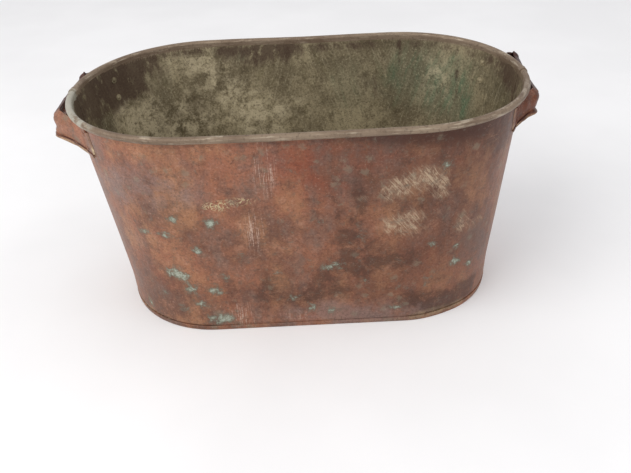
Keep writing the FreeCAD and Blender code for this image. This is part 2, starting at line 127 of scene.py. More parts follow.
# ---------------------------------------------------------------- marks on the copper outside
# Each is along, height, half width, half height and strength, all counted on the front.
VERDIGRIS = (
    (-0.120, 0.187, 0.009, 0.008, 1.0), (-0.167, 0.194, 0.008, 0.006, 0.8),
    (-0.213, 0.165, 0.007, 0.006, 0.9), (-0.183, 0.166, 0.012, 0.006, 0.9),
    (-0.143, 0.144, 0.006, 0.006, 1.0), (-0.182, 0.102, 0.012, 0.009, 1.0),
    (-0.168, 0.097, 0.007, 0.008, 1.0), (-0.162, 0.074, 0.009, 0.011, 1.0),
    (-0.128, 0.072, 0.010, 0.007, 1.0), (-0.113, 0.095, 0.006, 0.005, 0.9),
    (-0.150, 0.048, 0.009, 0.008, 0.9), (-0.124, 0.020, 0.020, 0.011, 1.0),
    (0.000, 0.032, 0.008, 0.007, 1.0), (0.030, 0.027, 0.009, 0.006, 0.9),
    (0.019, 0.185, 0.007, 0.005, 0.7), (0.118, 0.027, 0.010, 0.005, 0.8),
    (0.200, 0.093, 0.009, 0.008, 1.0), (0.229, 0.076, 0.007, 0.007, 0.9),
    (0.198, 0.121, 0.007, 0.006, 0.8), (0.163, 0.133, 0.006, 0.005, 0.7),
    (0.176, 0.257, 0.006, 0.005, 0.7), (0.070, 0.158, 0.006, 0.006, 0.6),
    (-0.207, 0.057, 0.007, 0.007, 0.6), (-0.241, 0.025, 0.008, 0.010, 0.6),
    (-0.178, 0.037, 0.008, 0.006, 0.7), (-0.023, 0.150, 0.005, 0.004, 0.6),
    (-0.044, 0.100, 0.004, 0.007, 0.5), (-0.025, 0.054, 0.010, 0.005, 0.6),
    (0.003, 0.118, 0.007, 0.004, 0.5), (0.039, 0.108, 0.008, 0.008, 0.6),
    (0.026, 0.104, 0.009, 0.008, 0.6), (0.074, 0.077, 0.009, 0.006, 0.5),
    (0.157, 0.074, 0.005, 0.010, 0.5), (0.140, 0.110, 0.008, 0.004, 0.5),
    (0.119, 0.065, 0.005, 0.006, 0.5), (-0.090, 0.130, 0.008, 0.010, 0.4),
)
SCUFFS = (
    (0.104, 0.221, 0.015, 0.013, 1.0), (0.126, 0.232, 0.018, 0.015, 1.2),
    (0.148, 0.243, 0.017, 0.015, 1.2), (0.166, 0.234, 0.014, 0.018, 1.2),
    (0.172, 0.214, 0.010, 0.012, 0.7), (0.110, 0.172, 0.015, 0.013, 1.1),
    (0.134, 0.183, 0.016, 0.013, 1.0), (0.130, 0.161, 0.022, 0.013, 0.6),
    (0.208, 0.158, 0.014, 0.018, 0.9), (0.238, 0.150, 0.016, 0.010, 0.5),
    (0.070, 0.215, 0.012, 0.006, 0.5), (-0.286, 0.266, 0.011, 0.010, 1.2),
)
SCUFF_SLANT = 0.7           # their strokes run this far to the left for each metre up
WISPS = ((-0.110, 0.214, 0.016, 0.007, 1.0), (-0.080, 0.220, 0.018, 0.005, 0.9))
EDGE_WORN = ((0.182, 0.009, 0.038, 0.006, 2.2), (0.110, 0.004, 0.060, 0.003, 0.6))
DRIPS = (
    (-0.046, 0.265, 0.013, 0.040, 1.2), (-0.067, 0.170, 0.014, 0.032, 1.1),
    (-0.096, 0.025, 0.020, 0.024, 1.1), (-0.020, 0.020, 0.030, 0.016, 0.5),
)
# Soot, and painted shade: the thin bands at heights 0.300 and 0.302 lie just under the rim bead.
SOOT_AND_SHADE = (
    (-0.080, 0.055, 0.040, 0.030, 0.9), (0.030, 0.075, 0.060, 0.035, 1.3),
    (0.130, 0.045, 0.040, 0.025, 0.9), (0.068, 0.205, 0.014, 0.060, 1.1),
    (0.050, 0.150, 0.030, 0.035, 1.1), (0.105, 0.110, 0.050, 0.026, 1.2),
    (0.190, 0.300, 0.100, 0.013, 1.9), (0.270, 0.272, 0.060, 0.030, 1.5),
    (0.205, 0.028, 0.048, 0.018, 3.0), (-0.165, 0.205, 0.026, 0.026, 0.8),
    (-0.120, 0.095, 0.040, 0.040, 0.5), (0.000, 0.302, 0.330, 0.005, 1.0),
    (0.260, 0.180, 0.024, 0.100, 0.8), (-0.060, 0.080, 0.014, 0.040, 0.7),
    (0.070, 0.125, 0.035, 0.022, 0.9), (-0.010, 0.045, 0.030, 0.018, 0.8),
)
SHADE_AND_TARNISH = (                 # broad even darkening: painted shade toward the right end and under the rim bead, with some tarnish
    (0.240, 0.270, 0.090, 0.050, 1.1), (0.230, 0.120, 0.110, 0.110, 0.9),
    (0.090, 0.090, 0.110, 0.090, 0.8), (0.100, 0.240, 0.090, 0.060, 0.7),
    (0.190, 0.298, 0.110, 0.018, 1.7), (0.015, 0.278, 0.065, 0.036, 0.55),
)
BLOOM = (
    (-0.225, 0.235, 0.060, 0.045, 1.0), (-0.160, 0.260, 0.040, 0.040, 0.8),
    (-0.240, 0.160, 0.050, 0.060, 0.6), (-0.140, 0.225, 0.030, 0.020, 0.5),
    (0.290, 0.200, 0.050, 0.100, 0.6), (0.060, 0.018, 0.150, 0.028, 1.5),
)
BRIGHT = (
    (-0.250, 0.275, 0.035, 0.025, 0.8), (-0.205, 0.262, 0.020, 0.012, 0.5),
    (0.008, 0.278, 0.058, 0.034, 1.2), (0.030, 0.235, 0.060, 0.050, 0.8),
    (0.110, 0.275, 0.045, 0.025, 0.7), (0.150, 0.130, 0.050, 0.050, 0.6),
    (-0.190, 0.080, 0.030, 0.035, 0.6), (-0.090, 0.270, 0.030, 0.030, 0.5),
    (0.183, 0.262, 0.028, 0.012, 0.9), (0.216, 0.242, 0.020, 0.016, 0.6),
    (-0.110, 0.055, 0.035, 0.030, 0.5), (-0.010, 0.020, 0.090, 0.016, 0.8),
    (-0.230, 0.120, 0.030, 0.040, 0.6), (0.180, 0.060, 0.030, 0.020, 0.6),
)
PALE_END = ((-0.335, RIM_TOP, 0.060, 0.030, 2.4),)      # of the rim, only where the photo shows it

# Marks on the tinned inside, counted from the middle of the back.
LIMESCALE = (
    (-0.180, 0.290, 0.045, 0.020, 0.7), (-0.129, 0.262, 0.040, 0.030, 1.0),
    (-0.205, 0.205, 0.050, 0.040, 1.0), (-0.067, 0.185, 0.050, 0.035, 0.8),
    (-0.094, 0.231, 0.030, 0.030, 0.7), (0.210, 0.245, 0.030, 0.050, 0.8),
    (-0.255, 0.215, 0.045, 0.035, 1.0), (-0.290, 0.245, 0.022, 0.022, 0.6),
    (-0.175, 0.195, 0.045, 0.025, 0.9), (-0.020, 0.215, 0.040, 0.025, 0.5),
)
GREEN_RUNS = (
    (0.160, 0.250, 0.030, 0.050, 0.8), (0.203, 0.250, 0.025, 0.050, 1.0),
    (0.250, 0.225, 0.035, 0.045, 1.2), (0.079, 0.240, 0.040, 0.050, 0.5),
    (0.251, 0.284, 0.025, 0.015, 0.6), (-0.090, 0.290, 0.020, 0.012, 0.5),
)
INSIDE_BROWN = (
    (-0.340, 0.290, 0.080, 0.036, 2.0), (-0.265, 0.285, 0.055, 0.028, 1.6),
    (0.020, 0.300, 0.120, 0.008, 1.0), (-0.150, 0.303, 0.160, 0.006, 0.8),
    (0.155, 0.280, 0.003, 0.026, 1.0), (0.100, 0.240, 0.020, 0.060, 0.4),
    (0.240, 0.300, 0.080, 0.008, 0.8), (-0.060, 0.290, 0.055, 0.018, 1.3),
    (0.247, 0.265, 0.004, 0.036, 1.2), (0.072, 0.265, 0.004, 0.025, 0.6),
    (0.350, 0.297, 0.060, 0.016, 1.0), (0.118, 0.235, 0.004, 0.035, 0.7),
)
INSIDE_DARK = (
    (0.360, 0.220, 0.070, 0.090, 1.3), (0.130, 0.225, 0.030, 0.040, 0.9),
    (-0.215, 0.265, 0.030, 0.035, 0.9), (-0.100, 0.250, 0.045, 0.022, 0.8),
    (-0.240, 0.185, 0.030, 0.030, 0.8), (0.020, 0.235, 0.060, 0.018, 0.5),
    (0.285, 0.275, 0.030, 0.030, 0.7), (0.340, 0.275, 0.045, 0.040, 1.0),
    (-0.320, 0.225, 0.040, 0.045, 0.8),
)


# ---------------------------------------------------------------- places on the wall
def smooth_step(value, low, high):
    share = np.clip((value - low) / (high - low), 0, 1)
    return share * share * (3 - 2 * share)


def outward(points):
    """Unit vectors away from the middle line, level, and the distances from it."""
    middle = np.clip(points[:, 0], -END_X, END_X)
    away = np.stack([points[:, 0] - middle, points[:, 1]], 1)
    distance = np.maximum(np.linalg.norm(away, axis=1), TINY)
    return away / distance[:, None], distance


def along_wall(points, side):
    """Distance round the wall from the middle of the front (-1) or back (+1), right positive."""
    past = np.maximum(np.abs(points[:, 0]) - END_X, 0)
    radius = np.hypot(past, points[:, 1])
    turned = radius * np.arctan2(past, side * points[:, 1])
    straight = np.minimum(np.abs(points[:, 0]), END_X)
    return np.sign(points[:, 0]) * (straight + turned)


def ring_place(points, slant=0.0):
    """A level circle as long as the wall, so that texture can run along it without a seam."""
    along = along_wall(points, -1) + slant * points[:, 2]
    radius = (2 * END_X + math.pi * WIRE_TOP.y) / math.pi
    angle = along / radius
    return np.stack([radius * np.sin(angle), -radius * np.cos(angle), points[:, 2]], 1)


def spots(points, marks, side):
    """Height of a smooth hill at each mark, for marks of one side of the boiler."""
    along = along_wall(points, side)
    total = np.zeros(len(points))
    for at, height, half_width, half_height, strength in marks:
        across = (along - at) / half_width
        up = (points[:, 2] - height) / half_height
        total += strength * np.exp(-(across * across + up * up))
    return total * (side * points[:, 1] > -END_X / 2)


# ---------------------------------------------------------------- bending the pieces
MOST_SPLITS = 24            # rounds of halving, so that dividing always ends
SHARP_FROM = math.radians(38)                       # edges that turn more than this are drawn sharp


def bent(points, swollen):
    """Where wear has moved each point of the boiler, inside the box of the solids."""
    height = points[:, 2]
    direction, _ = outward(points)
    turn = np.arctan2(points[:, 1], points[:, 0])
    high = smooth_step(height, WAVES_FROM, RIM_TOP)
    inward = np.sin(SHORT_WAVES * turn + SHORT_START) * np.cos(LONG_WAVES * turn + LONG_START)
    down = np.sin(DOWN_WAVES * turn + DOWN_START)
    shift = -RIM_WAVE_IN * high * (0.5 + 0.5 * inward)
    shift += LEFT_BULGE * high * np.exp(-((turn - BULGE_TURN) / BULGE_WIDTH) ** 2)
    shift -= spots(points, DENTS, -1)
    if swollen:
        above_seam = smooth_step(height, SEAM_TOP + SWELL_STARTS, SEAM_TOP + SWELL_FULL)
        shift += FOOT_SWELL * above_seam * (1 - smooth_step(height, SEAM_TOP, FOOT_SWELL_TOP))
    moved = points.copy()
    moved[:, :2] += direction * shift[:, None]
    moved[:, 2] -= RIM_WAVE_DOWN * high * (0.5 + 0.5 * down)
    moved[:, 0] += BASE_SLIP * (1 - smooth_step(height, 0, RIM_TOP))
    return np.clip(moved, np.array(CAD_BOX[0]), np.array(CAD_BOX[1]))


def bent_strap(points, side):
    """The strap's own bends: back corner pulled back, grip pushed in, and its torn hems."""
    outside = 1 if side == "right" else -1
    x, y, z = np.abs(points[:, 0]), points[:, 1], points[:, 2]
    on_grip = smooth_step(x, GRIP_FROM_X, FULL_X)
    hem = (1 - smooth_step(z, *HEM_Z)) * smooth_step(x, HEM_FROM_X, FULL_X)
    waist = np.exp(-((z - WAIST_Z) / WAIST_HALF) ** 2)
    upper = smooth_step(z, WAIST_Z, WAIST_Z + 2 * WAIST_HALF)
    push = WAIST_OUT[side] * waist - GRIP_IN[side] - GRIP_TOP_IN[side] * upper
    push -= BACK_TOP_IN[side] * smooth_step(y, BACK_LEAN_FROM, CORNER_Y) * smooth_step(z, *TOP_LEAN_Z)
    rise = BACK_RISE * smooth_step(y, BACK_RISE_FROM, CORNER_Y) * smooth_step(z, *TOP_RISE_Z)
    spike = SPIKE_HEIGHT * smooth_step(z, GRIP_TOP - SPIKE_ROOT, GRIP_TOP - SPIKE_FULL)
    spike *= np.clip(1 - np.abs(y - CORNER_Y) / SPIKE_WIDTH, 0, 1)
    moved = points.copy()
    moved[:, 0] += outside * (push * on_grip - HEM_IN[side] * hem)
    moved[:, 1] += GRIP_BACK[side] * smooth_step(y, -CORNER_Y, CORNER_Y) * on_grip
    moved[:, 2] += HEM_UP[side] * hem + (rise + spike) * on_grip
    if side == "left":
        at_tear = np.exp(-((y + CORNER_Y) / TEAR_WIDTH) ** 2) * (1 - smooth_step(z, *TEAR_Z))
        ragged = 0.5 + 0.5 * np.sin(y * TEAR_TEETH)
        moved[:, 2] += TEAR_DEPTH * at_tear * ragged * on_grip
    return moved


def bent_foot(points, side, share=1.0):
    """Lift the front foot's lower edge and draw its end toward the grip, along the wall."""
    along = np.abs(along_wall(points, -1))
    at_end = share * (1 - smooth_step(along, FOOT_END, LEG_START))
    low = 1 - smooth_step(points[:, 2], FOOT_LOW, FOOT_HIGH)
    lift = FOOT_LIFT[side] * at_end * low
    past = np.abs(points[:, 0]) - END_X
    radius = np.hypot(past, points[:, 1]) + lift * WALL_LEAN
    turn = (FOOT_TURN[side] + FOOT_LOW_TURN[side] * low) * at_end / WIRE_TOP.y
    angle = np.arctan2(past, -points[:, 1]) + turn
    x = np.sign(points[:, 0]) * (END_X + radius * np.sin(angle))
    lifted = np.stack([x, -radius * np.cos(angle), points[:, 2] + lift], 1)
    return np.where((at_end > 0)[:, None], lifted, points)


def drawn_wall(points):
    """Move the rivet holes of the front wall, and the copper round them, with the two feet."""
    share = smooth_step(np.abs(along_wall(points, -1)), DRAWN_FROM, FOOT_END)
    share *= smooth_step(points[:, 2], DRAWN_LOW, DRAWN_HIGH)
    on_right = points[:, 0] > 0
    return bent_foot(bent_foot(points, "left", share * ~on_right), "right", share * on_right)


def split_once(points, faces, longest):
    """Halve each triangle's longest edge where that is over the longest allowed."""
    sides = np.sort(faces[:, [[0, 1], [1, 2], [2, 0]]], axis=2).reshape(-1, 2)
    keys = sides[:, 0] * len(points) + sides[:, 1]
    _, first, which = np.unique(keys, return_index=True, return_inverse=True)
    ends = points[sides[first]]
    length = np.linalg.norm(ends[:, 0] - ends[:, 1], axis=1)
    which = which.reshape(-1, 3)
    widest = np.take_along_axis(which, length[which].argmax(axis=1)[:, None], 1)
    too_long = np.zeros(len(length), bool)
    too_long[widest] = length[widest] > longest
    middles = np.full(len(length), -1)
    middles[too_long] = len(points) + np.arange(too_long.sum())
    points = np.vstack([points, ends[too_long].mean(axis=1)])
    cut = middles[which]
    count = (cut >= 0).sum(axis=1)
    # Turn each triangle so that its cut edges come first.
    start = np.zeros(len(faces), int)
    start[count == 1] = (cut[count == 1] >= 0).argmax(axis=1)
    start[count == 2] = (cut[count == 2] < 0).argmax(axis=1) + 1
    order = (start[:, None] + np.arange(3)) % 3
    a, b, c = np.take_along_axis(faces, order, 1).T
    ab, bc, ca = np.take_along_axis(cut, order, 1).T
    turned = np.take_along_axis(length[which], order, 1)
    first_longer = turned[:, 0] > turned[:, 1]
    new = [faces[count == 0]]
    for chosen, triangles in (
        (count == 1, ((a, ab, c), (ab, b, c))),
        ((count == 2) & first_longer, ((ab, b, bc), (ab, bc, c), (a, ab, c))),
        ((count == 2) & ~first_longer, ((ab, b, bc), (a, ab, bc), (a, bc, c))),
        (count == 3, ((a, ab, ca), (ab, b, bc), (ca, bc, c), (ab, bc, ca))),
    ):
        new += [np.stack([corner[chosen] for corner in triangle], 1) for triangle in triangles]
    return points, np.vstack(new), bool(too_long.any())


def fine_copy(node, longest):
    """Mesh of a CAD node with its corners joined and its long edges divided."""
    mesh = bmesh.new()
    mesh.from_mesh(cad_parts[node].data)
    bmesh.ops.remove_doubles(mesh, verts=mesh.verts, dist=TINY)
    bmesh.ops.triangulate(mesh, faces=mesh.faces)
    mesh.verts.index_update()
    points = np.array([vert.co[:] for vert in mesh.verts])
    faces = np.array([[vert.index for vert in face.verts] for face in mesh.faces])
    mesh.free()
    for _ in range(MOST_SPLITS):
        points, faces, more = split_once(points, faces, longest)
        if not more:
            break
    data = bpy.data.meshes.new(node + "_worn")
    data.from_pydata(points.tolist(), [], faces.tolist())
    return data


def store(data, name, values):
    """Keep one number per vertex, or one vector, for the material to read."""
    kind = "FLOAT" if values.ndim == 1 else "FLOAT_VECTOR"
    attribute = data.attributes.new(name, kind, "POINT")
    field = "value" if values.ndim == 1 else "vector"
    attribute.data.foreach_set(field, values.astype(np.float32).ravel())


def points_of(data):
    flat = np.zeros(3 * len(data.vertices))
    data.vertices.foreach_get("co", flat)
    return flat.reshape(-1, 3)


def worn_piece(node, longest, strap_side=None):
    """A bent copy that stands for a CAD node, and its points from before the bends."""
    data = fine_copy(node, longest)
    points = points_of(data)
    if node == "front_wall_sheet":
        points = drawn_wall(points)
    store(data, "ring", points if node == "base_pan" else ring_place(points))
    store(data, "slant", ring_place(points, SCUFF_SLANT))
    moved = points if strap_side is None else bent_strap(points, strap_side)
    if "_handle_" in node:
        moved = bent_foot(moved, node.split("_")[0])
    swollen = node.endswith(("wall_sheet", "seam_solder"))
    data.vertices.foreach_set("co", bent(moved, swollen).ravel())
    data.shade_smooth()
    data.set_sharp_from_angle(angle=SHARP_FROM)
    data.update()
    piece = bpy.data.objects.new(node + "_worn", data)
    bpy.context.scene.collection.objects.link(piece)
    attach(piece, "root")
    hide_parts(node)
    return piece, points


# ---------------------------------------------------------------- materials
def rgb(red, green, blue):
    """Screen colour, 0 to 255, as the renderer's linear colour."""
    def linear(value):
        share = value / 255
        return share / 12.92 if share <= 0.04045 else ((share + 0.055) / 1.055) ** 2.4
    return (linear(red), linear(green), linear(blue), 1.0)


PATCH_FROM = 0.12           # how strong a broken mark must be to show


class Finish:
    """A node material, with short names for the nodes it is made of."""

    def __init__(self, name, roughness, metallic):
        self.material = bpy.data.materials.new(name)
        self.material.use_nodes = True
        self.tree = self.material.node_tree
        self.shader = self.tree.nodes["Principled BSDF"]
        self.shader.inputs["Roughness"].default_value = roughness
        self.shader.inputs["Metallic"].default_value = metallic
        self.place = self.node("ShaderNodeTexCoord").outputs["Object"]

    def node(self, kind, inputs=(), **settings):
        made = self.tree.nodes.new(kind)
        for name, value in settings.items():
            setattr(made, name, value)
        for key, value in dict(inputs).items():
            self.feed(made.inputs[key], value)
        return made

    def feed(self, socket, value):
        if isinstance(value, bpy.types.NodeSocket):
            self.tree.links.new(value, socket)
        else:
            socket.default_value = value

    def stored(self, name):
        return self.node("ShaderNodeAttribute", attribute_name=name)

    def mark(self, name):
        return self.stored(name).outputs["Fac"]

    def scaled(self, vector, x, y, z):
        inputs = {0: vector, 1: (x, y, z)}
        return self.node("ShaderNodeVectorMath", inputs, operation="MULTIPLY").outputs[0]

    def noise(self, scale, detail, rough, vector=None, bend=0.0):
        inputs = {"Vector": vector or self.place, "Scale": scale, "Detail": detail}
        inputs.update({"Roughness": rough, "Distortion": bend})
        return self.node("ShaderNodeTexNoise", inputs).outputs["Fac"]

    def maths(self, operation, first, second=0.0):
        inputs = {0: first, 1: second}
        return self.node("ShaderNodeMath", inputs, operation=operation).outputs[0]

    def times(self, first, second):
        return self.maths("MULTIPLY", first, second)

    def off_middle(self, noise):
        """How far noise is from its middle value, near none along thin wandering lines."""
        return self.maths("ABSOLUTE", self.maths("SUBTRACT", noise, 0.5))

    def step(self, value, low, high, result_low=0.0, result_high=1.0):
        """Smooth change of result while value goes from low to high."""
        inputs = {"Value": value, "From Min": low, "From Max": high}
        inputs.update({"To Min": result_low, "To Max": result_high})
        made = self.node("ShaderNodeMapRange", inputs, interpolation_type="SMOOTHSTEP")
        return made.outputs["Result"]

    def mixed(self, share, first, second):
        made = self.node("ShaderNodeMix", data_type="RGBA")
        for index, value in ((0, share), (6, first), (7, second)):
            self.feed(made.inputs[index], value)
        return made.outputs[2]

    def patchy(self, name, noise, reach):
        """A stored mark with its outline broken up by noise, 0 to 1."""
        broken = self.times(self.mark(name), self.step(noise, 0.25, 0.75))
        return self.step(broken, PATCH_FROM, PATCH_FROM + reach)

    def bump(self, height, distance, strength, under=None):
        inputs = {"Height": height, "Distance": distance, "Strength": strength}
        if under:
            inputs["Normal"] = under
        return self.node("ShaderNodeBump", inputs).outputs["Normal"]

    def finish(self, colour, roughness, normal):
        self.feed(self.shader.inputs["Base Color"], colour)
        self.feed(self.shader.inputs["Roughness"], roughness)
        self.feed(self.shader.inputs["Normal"], normal)
        return self.material


class Copper(Finish):
    """Patinated copper, with the marks that are stored on its mesh."""

    def __init__(self, name):
        super().__init__(name, 0.45, 0.3)
        self.shader.inputs["Specular IOR Level"].default_value = 0.32
        self.ring = self.stored("ring").outputs["Vector"]
        self.clouds = self.noise(7, 6, 0.66, bend=0.5)
        self.hue = self.noise(16, 6, 0.7, self.scaled(self.ring, 1, 1, 0.6))
        self.mottle = self.noise(44, 8, 0.74)
        self.grain = self.noise(330, 4, 0.75)

    def patina(self, deep, middle, warm):
        """Three coppers in clouds, greyed, wiped dark and mottled."""
        wiped = self.noise(60, 5, 0.66, self.scaled(self.ring, 1, 1, 0.15))
        colour = self.mixed(self.step(self.clouds, 0.36, 0.64), deep, middle)
        colour = self.mixed(self.step(self.hue, 0.46, 0.66, 0, 0.75), colour, warm)
        colour = self.mixed(self.step(self.hue, 0.5, 0.34, 0, 0.62), colour, rgb(124, 106, 96))
        colour = self.mixed(self.step(wiped, 0.5, 0.72, 0, 0.4), colour, rgb(100, 70, 58))
        colour = self.mixed(self.step(self.mottle, 0.52, 0.7, 0, 0.55), colour, rgb(182, 136, 112))
        return self.mixed(self.step(self.mottle, 0.48, 0.3, 0, 0.7), colour, rgb(84, 56, 44))

    def broad_marks(self, colour):
        """Bright copper, bloom, worn edges, fine grain, soot with painted shade, and painted shade
        toward the right end with some tarnish.
        """
        bright = self.patchy("bright", self.noise(22, 6, 0.66), 1.1)
        colour = self.mixed(self.times(bright, 0.72), colour, rgb(148, 68, 42))
        bloom = self.patchy("bloom", self.noise(20, 6, 0.7), 0.8)
        colour = self.mixed(self.times(bloom, 0.62), colour, rgb(142, 122, 116))
        worn = self.patchy("edge_worn", self.mottle, 0.5)
        colour = self.mixed(self.times(worn, 0.8), colour, rgb(164, 140, 112))
        colour = self.mixed(self.step(self.grain, 0.5, 0.34, 0, 0.5), colour, rgb(74, 54, 46))
        colour = self.mixed(self.step(self.grain, 0.55, 0.7, 0, 0.45), colour, rgb(188, 154, 134))
        # soot, and painted shade under the rim bead and over the straps' back halves
        soot_and_shade = self.patchy("soot_and_shade", self.noise(34, 8, 0.76), 0.8)
        colour = self.mixed(self.times(soot_and_shade, 0.7), colour, rgb(68, 46, 38))
        # painted shade: broad darkening toward the right end and under the rim bead, with some
        # tarnish
        return self.mixed(self.times(self.mark("shade_and_tarnish"), 0.38), colour, rgb(72, 42, 30))

    def scuffs(self, colour):
        """Crossing strokes over a pale haze. Also returns how strong the strokes are."""
        slanted = self.scaled(self.stored("slant").outputs["Vector"], 1, 1, 0.22)
        strokes = self.noise(230, 4, 0.7, slanted, 0.8)
        crossed = self.noise(170, 5, 0.72, self.scaled(self.ring, 1, 1, 0.4), 1.2)
        strokes = self.maths("MAXIMUM", strokes, self.maths("SUBTRACT", crossed, 0.04))
        haze = self.times(self.mark("scuff"), self.step(self.mottle, 0.3, 0.6))
        colour = self.mixed(self.step(haze, 0.0, 1.3, 0, 0.45), colour, rgb(156, 132, 108))
        scuff = self.times(self.mark("scuff"), self.step(strokes, 0.42, 0.68))
        scuff = self.times(self.step(scuff, 0.06, 0.8), self.step(self.mottle, 0.34, 0.56, 0.2, 1))
        return self.mixed(self.times(scuff, 0.8), colour, rgb(198, 177, 150)), scuff

    def drips_and_wisps(self, colour):
        """Fine pale runs down the wall, and thin curling lines."""
        runs = self.noise(620, 3, 0.7, self.scaled(self.ring, 1, 1, 0.03))
        drip = self.times(self.mark("drip"), self.step(runs, 0.48, 0.62))
        drip = self.times(drip, self.step(self.grain, 0.35, 0.6, 0.35, 1))
        colour = self.mixed(self.step(drip, 0.05, 0.9, 0, 0.75), colour, rgb(200, 176, 160))
        curl = self.off_middle(self.noise(95, 2, 0.5, bend=1.6))
        wisp = self.times(self.mark("wisp"), self.step(curl, 0.06, 0.015))
        return self.mixed(self.step(wisp, 0.08, 0.6, 0, 0.75), colour, rgb(204, 188, 146))

    def verdigris(self, colour):
        """Green crust with pale cores, and small grey dots. Also returns how green it is."""
        edge = self.noise(110, 7, 0.76, bend=0.5)
        crust = self.maths("ADD", self.mark("verdigris"), self.step(edge, 0.25, 0.75, -0.6, 0.6))
        green = self.step(crust, 0.35, 0.85)
        core = self.times(self.step(crust, 0.6, 1.05), self.step(self.grain, 0.38, 0.58))
        cells = self.node("ShaderNodeTexVoronoi", {"Vector": self.place, "Scale": 46.0})
        ragged = self.maths("ADD", cells.outputs["Distance"], self.step(edge, 0.3, 0.7, -0.2, 0.2))
        some_cells = self.step(cells.outputs["Color"], 0.5, 0.62)
        dot = self.times(self.step(ragged, 0.3, 0.1), some_cells)
        colour = self.mixed(self.step(crust, 0.0, 0.6, 0, 0.5), colour, rgb(100, 88, 76))
        colour = self.mixed(self.times(dot, 0.4), colour, rgb(128, 124, 106))
        colour = self.mixed(self.times(green, 0.7), colour, rgb(140, 147, 130))
        return self.mixed(self.times(core, 0.8), colour, rgb(184, 192, 178)), green

    def hairs_and_folds(self, colour):
        """Hair scratches round the wall, and painted shade in folds and along top edges, the top
        edges also dark with patina.
        """
        hair = self.off_middle(self.noise(26, 3, 0.5, self.scaled(self.ring, 1, 1, 5)))
        hair = self.times(self.step(hair, 0.007, 0.001), self.step(self.hue, 0.48, 0.6))
        colour = self.mixed(self.times(hair, 0.3), colour, rgb(196, 150, 124))
        # painted shade: dark in the fold above a strap's hem, and along a grip's top edge together
        # with dark patina
        return self.mixed(self.times(self.mark("edge_shade_and_patina"), 0.85), colour, rgb(66, 42, 38))


def copper_outside(name, deep, middle, warm):
    """The wall's or a strap's copper, from its three coppers up to the top layer of wear."""
    mat = Copper(name)
    colour = mat.broad_marks(mat.patina(deep, middle, warm))
    colour, scuff = mat.scuffs(colour)
    colour, green = mat.verdigris(mat.drips_and_wisps(colour))
    colour = mat.hairs_and_folds(colour)
    dull = mat.maths("MAXIMUM", green, scuff)
    rough = mat.step(mat.maths("ADD", mat.mottle, mat.times(dull, 0.7)), 0.3, 1.2, 0.38, 0.85)
    normal = mat.bump(mat.clouds, 0.0012, 0.5)
    normal = mat.bump(mat.mottle, 0.0004, 0.6, normal)
    crusted = mat.maths("ADD", mat.grain, mat.times(green, 3.0))
    normal = mat.bump(crusted, 0.0002, 0.6, normal)
    return mat.finish(colour, rough, normal)


def tinned_inside():
    """Dull olive tinning worn through in runs, with lime scale and green."""
    mat = Finish("tinned_inside", 0.6, 0.1)
    ring = mat.stored("ring").outputs["Vector"]
    clouds = mat.noise(9, 7, 0.72)
    mottle = mat.noise(52, 8, 0.76)
    grain = mat.noise(330, 4, 0.75)
    runs = mat.noise(70, 6, 0.7, mat.scaled(ring, 1, 1, 0.2))
    fine_runs = mat.noise(300, 4, 0.7, mat.scaled(ring, 1, 1, 0.09))
    colour = mat.mixed(mat.step(clouds, 0.38, 0.62), rgb(110, 98, 74), rgb(160, 147, 116))
    dark = mat.patchy("inside_dark", mottle, 0.8)
    colour = mat.mixed(mat.times(dark, 0.7), colour, rgb(84, 76, 56))
    colour = mat.mixed(mat.step(runs, 0.48, 0.68, 0, 0.5), colour, rgb(108, 98, 68))
    colour = mat.mixed(mat.step(fine_runs, 0.5, 0.68, 0, 0.45), colour, rgb(172, 160, 130))
    colour = mat.mixed(mat.step(mottle, 0.5, 0.32, 0, 0.7), colour, rgb(82, 70, 50))
    green = mat.times(mat.mark("green_runs"), mat.step(runs, 0.36, 0.64))
    green = mat.times(green, mat.step(mottle, 0.3, 0.6, 0.3, 1))
    green_tint = mat.step(mat.mark("green_runs"), 0.0, 1.2, 0, 0.35)
    colour = mat.mixed(green_tint, colour, rgb(128, 134, 108))
    colour = mat.mixed(mat.step(green, 0.05, 0.9, 0, 0.75), colour, rgb(84, 112, 84))
    scale = mat.times(mat.mark("limescale"), mat.step(mottle, 0.36, 0.62))
    scale = mat.times(scale, mat.step(clouds, 0.34, 0.56, 0.3, 1))
    colour = mat.mixed(mat.step(scale, 0.05, 0.8, 0, 0.8), colour, rgb(200, 186, 154))
    colour = mat.mixed(mat.step(grain, 0.5, 0.34, 0, 0.65), colour, rgb(70, 60, 42))
    colour = mat.mixed(mat.step(grain, 0.54, 0.7, 0, 0.5), colour, rgb(196, 184, 150))
    brown = mat.patchy("inside_brown", mat.noise(50, 7, 0.74, mat.scaled(ring, 1, 1, 0.5)), 0.6)
    colour = mat.mixed(mat.times(brown, 0.78), colour, rgb(68, 46, 35))
    rough = mat.step(mottle, 0.3, 0.7, 0.5, 0.75)
    normal = mat.bump(clouds, 0.0010, 0.5)
    normal = mat.bump(mat.maths("ADD", mottle, grain), 0.0003, 0.6, normal)
    return mat.finish(colour, rough, normal)


